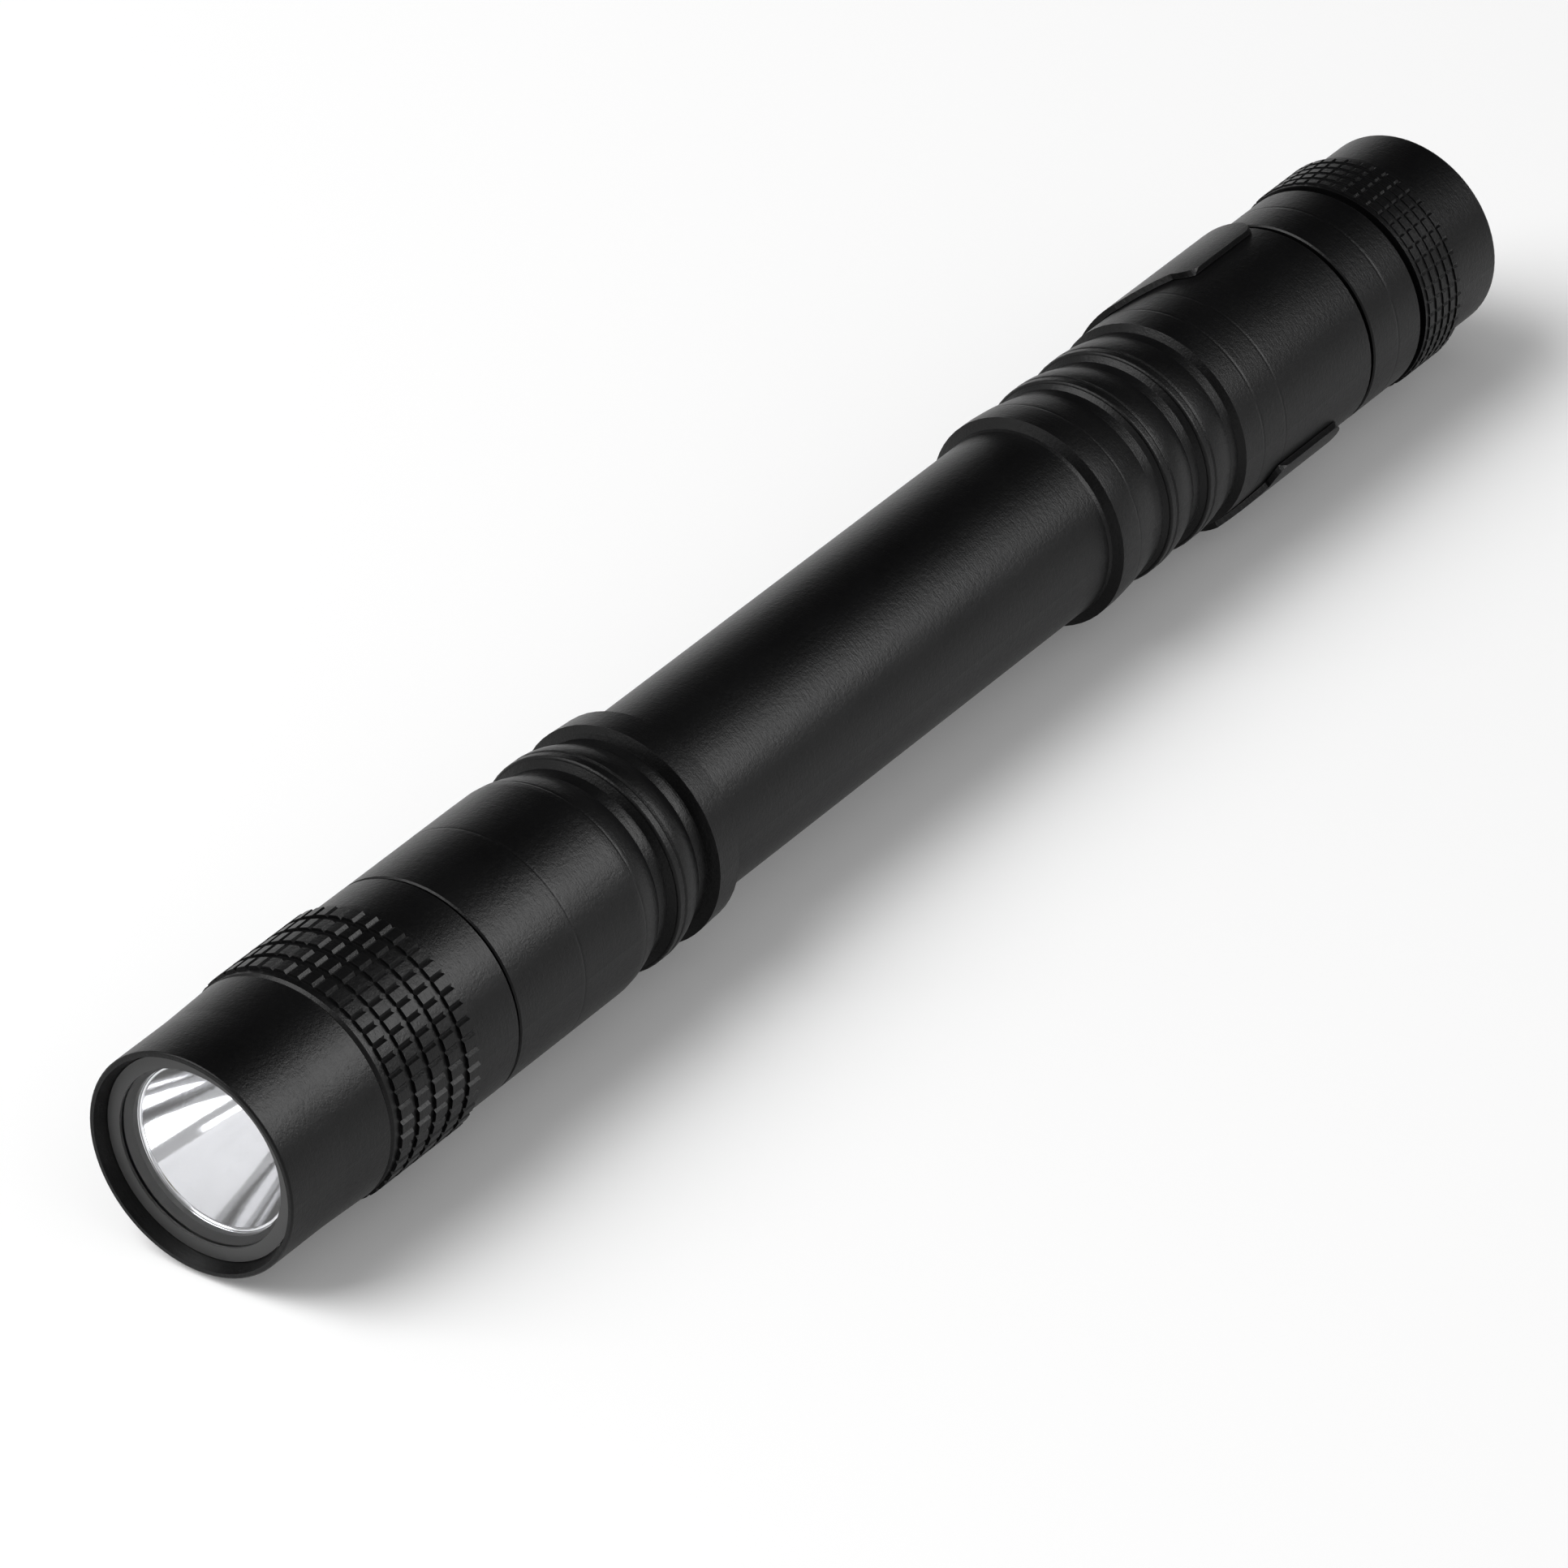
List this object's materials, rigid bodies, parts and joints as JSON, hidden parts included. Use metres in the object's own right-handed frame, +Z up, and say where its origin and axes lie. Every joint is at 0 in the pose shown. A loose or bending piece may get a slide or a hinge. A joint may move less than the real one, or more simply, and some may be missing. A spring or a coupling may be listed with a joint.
{
  "type": "penlight",
  "caption": "Slim black aluminium penlight with knurled screw-on head, ringed barrel for two small cells, knurled tail cap with push button, and a swivelling sprung pocket clip.",
  "frame": {"origin": "on the surface the penlight lies on, under the middle of its length and its axis", "axes": "+Y along the axis from the head to the tail, beam towards -Y, +Z up"},
  "size_m": [0.016, 0.1332, 0.016],
  "materials": {
    "black_anodised": "black satin anodised aluminium",
    "black_steel": "black coated spring steel sheet",
    "dark_plastic": "dark grey satin plastic",
    "clear_glass": "clear polished",
    "black_rubber": "matt black rubber",
    "grey_rubber": "dark grey matt rubber",
    "bright_reflector": "smooth bright reflector",
    "light_dome": "clear dome over a yellow chip",
    "white_plastic": "white moulded plastic",
    "board_metal": "metal-cored board",
    "board_green": "green circuit board",
    "brass": "plain turned brass",
    "spring_steel": "plated spring wire",
    "cell_jacket": "plain cell jacket",
    "switch_plastic": "black moulded plastic"
  },
  "bodies": {
    "barrel": {"barrel": "black_anodised", "battery_front": "cell_jacket", "battery_rear": "cell_jacket", "head_o_ring": "black_rubber", "tail_o_ring": "black_rubber"},
    "light_module": {"pill": "brass", "led_board": "board_metal", "led_emitter": "light_dome", "centering_ring": "white_plastic", "driver_board": "board_green", "front_spring": "spring_steel"},
    "head": {"head": "black_anodised", "lens_ring": "dark_plastic", "lens": "clear_glass", "lens_gasket": "grey_rubber", "reflector": "bright_reflector"},
    "switch_module": {"switch_ring": "brass", "switch_board": "board_green", "switch_body": "switch_plastic", "tail_spring": "spring_steel"},
    "tail_cap": {"tail_cap": "black_anodised"},
    "button": {"tail_button": "black_rubber", "switch_plunger": "white_plastic"},
    "clip": {"pocket_clip": "black_steel"}
  },
  "joints": [
    {"name": "head_travel", "type": "slide", "parent": "barrel", "child": "light_module", "axis": [0, -1, 0], "range_m": [0, 0.0056]},
    {"name": "head_turn", "type": "hinge", "parent": "light_module", "child": "head", "pos_m": [0, -0.055, 0.008], "axis": [0, -1, 0], "range_deg": [0, 2520]},
    {"name": "tail_travel", "type": "slide", "parent": "barrel", "child": "switch_module", "axis": [0, 1, 0], "range_m": [0, 0.004]},
    {"name": "tail_turn", "type": "hinge", "parent": "switch_module", "child": "tail_cap", "pos_m": [0, 0.055, 0.008], "axis": [0, 1, 0], "range_deg": [0, 1800]},
    {"name": "button_press", "type": "slide", "parent": "switch_module", "child": "button", "axis": [0, -1, 0], "range_m": [0, 0.0012], "stiffness_N_per_m": 1500, "springref_m": -0.0008},
    {"name": "clip_swivel", "type": "hinge", "parent": "barrel", "child": "clip", "pos_m": [0, 0.04, 0.008], "axis": [0, 1, 0], "continuous": true}
  ],
  "couplings": [
    {"joint": "head_turn", "follows": "head_travel", "rad_per_m": 7854},
    {"joint": "tail_turn", "follows": "tail_travel", "rad_per_m": 7854}
  ]
}
